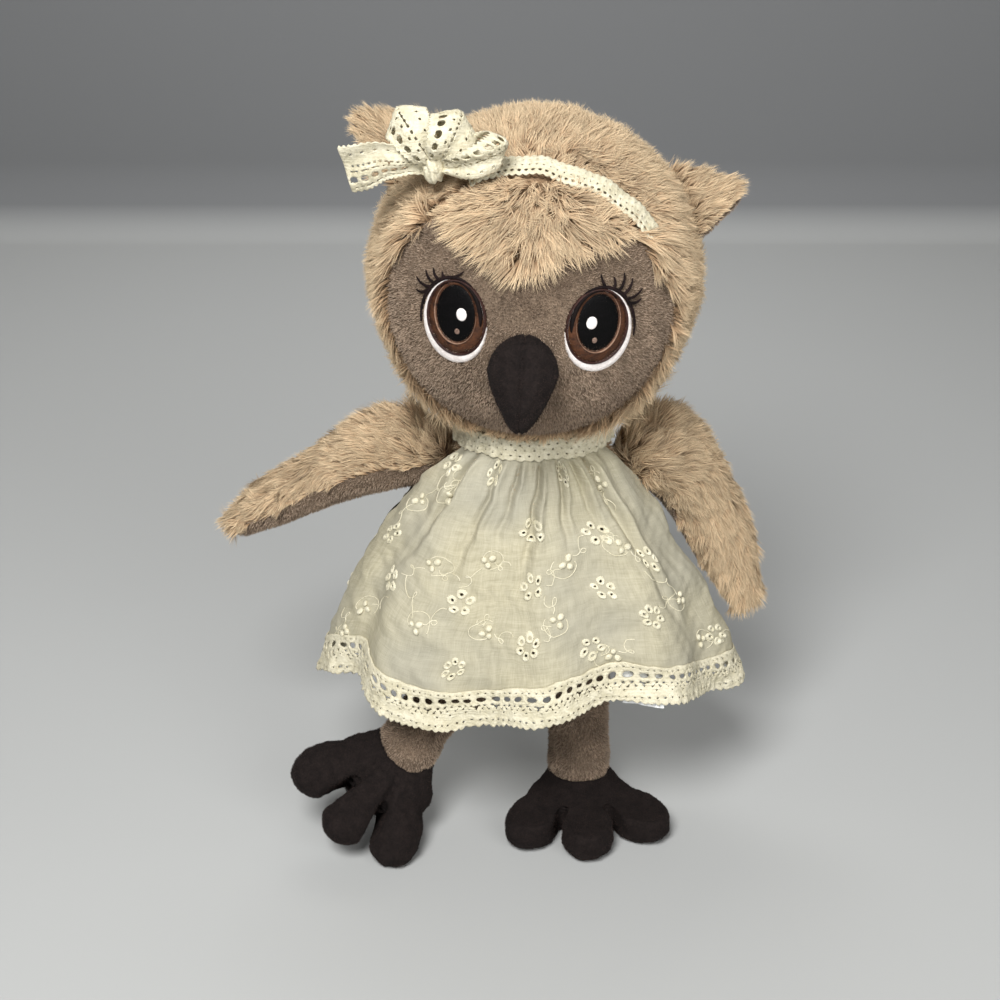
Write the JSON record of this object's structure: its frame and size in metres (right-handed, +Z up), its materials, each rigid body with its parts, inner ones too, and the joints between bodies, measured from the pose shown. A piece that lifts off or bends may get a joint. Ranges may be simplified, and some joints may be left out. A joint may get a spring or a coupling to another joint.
{
  "type": "plush owl",
  "caption": "Standing soft toy owl with furry head and wings, stitched eyes, padded beak, lace headband and bow, gathered cotton dress and padded feet.",
  "frame": {"origin": "on the floor under the middle of the whole toy", "axes": "+Z up, -Y is where the owl faces, +X is its own left"},
  "size_m": [0.1888, 0.1122, 0.2546],
  "materials": {
    "fur": "long pile, matte",
    "plush": "short pile, matte",
    "suede": "brushed, matte",
    "cotton": "plain weave, matte",
    "lace": "cotton lace, matte",
    "filling": "fibre filling",
    "eye_white": "satin stitch",
    "eye_brown": "satin stitch",
    "eye_black": "satin stitch",
    "lash_thread": "satin stitch",
    "label": "woven tape"
  },
  "bodies": {
    "torso": {"body_cover": "fur", "body_filling": "filling", "dress_front": "cotton", "dress_back": "cotton", "dress_collar": "lace", "hem_lace": "lace", "care_label": "label"},
    "neck": {"neck_filling": "filling"},
    "head": {"head_cover": "fur", "face_panel": "plush", "head_filling": "filling", "eye_left_white": "eye_white", "eye_left_iris": "eye_brown", "eye_left_pupil": "eye_black", "eye_left_glint": "eye_white", "lashes_left": "lash_thread", "eye_right_white": "eye_white", "eye_right_iris": "eye_brown", "eye_right_pupil": "eye_black", "eye_right_glint": "eye_white", "lashes_right": "lash_thread", "beak_left": "suede", "beak_right": "suede", "beak_filling": "filling", "ear_left_fur": "fur", "ear_left_lining": "plush", "ear_right_fur": "fur", "ear_right_lining": "plush", "headband": "lace", "bow_knot": "lace", "bow_tail": "lace", "bow_loop_upper": "lace", "bow_loop_middle": "lace", "bow_loop_left": "lace"},
    "wing_left": {"wing_left_fur": "fur", "wing_left_lining": "plush", "wing_left_filling": "filling"},
    "wing_right": {"wing_right_fur": "fur", "wing_right_lining": "plush", "wing_right_filling": "filling"},
    "leg_left": {"leg_left_cover": "plush", "leg_left_filling": "filling"},
    "leg_right": {"leg_right_cover": "plush", "leg_right_filling": "filling"},
    "foot_left": {"foot_left_upper": "suede", "foot_left_sole": "suede", "foot_left_filling": "filling"},
    "foot_right": {"foot_right_upper": "suede", "foot_right_sole": "suede", "foot_right_filling": "filling"}
  },
  "joints": [
    {"name": "neck_turn", "type": "hinge", "parent": "torso", "child": "neck", "pos_m": [0.01148, 0.01009, 0.14], "axis": [0, 0, 1], "range_deg": [-35, 35]},
    {"name": "head_nod", "type": "hinge", "parent": "neck", "child": "head", "pos_m": [0.01148, 0.01009, 0.161], "axis": [1, 0, 0], "range_deg": [-12, 6]},
    {"name": "wing_right_lift", "type": "hinge", "parent": "torso", "child": "wing_right", "pos_m": [-0.02353, 0.01609, 0.132], "axis": [0, 1, 0], "range_deg": [-12, 45]},
    {"name": "wing_left_lift", "type": "hinge", "parent": "torso", "child": "wing_left", "pos_m": [0.04648, 0.01609, 0.132], "axis": [0, -1, 0], "range_deg": [0, 75]},
    {"name": "leg_right_swing", "type": "hinge", "parent": "torso", "child": "leg_right", "pos_m": [-0.00653, 0.01109, 0.052], "axis": [-1, 0, 0], "range_deg": [-50, 35]},
    {"name": "leg_left_swing", "type": "hinge", "parent": "torso", "child": "leg_left", "pos_m": [0.02898, 0.01109, 0.052], "axis": [-1, 0, 0], "range_deg": [-45, 50]},
    {"name": "foot_right_flex", "type": "hinge", "parent": "leg_right", "child": "foot_right", "pos_m": [-0.03152, -0.00291, 0.03], "axis": [0.7738, -0.2677, -0.5741], "range_deg": [-15, 9]},
    {"name": "foot_left_flex", "type": "hinge", "parent": "leg_left", "child": "foot_left", "pos_m": [0.02898, 0.01009, 0.013], "axis": [1, 0, 0], "range_deg": [-15, 15]}
  ]
}
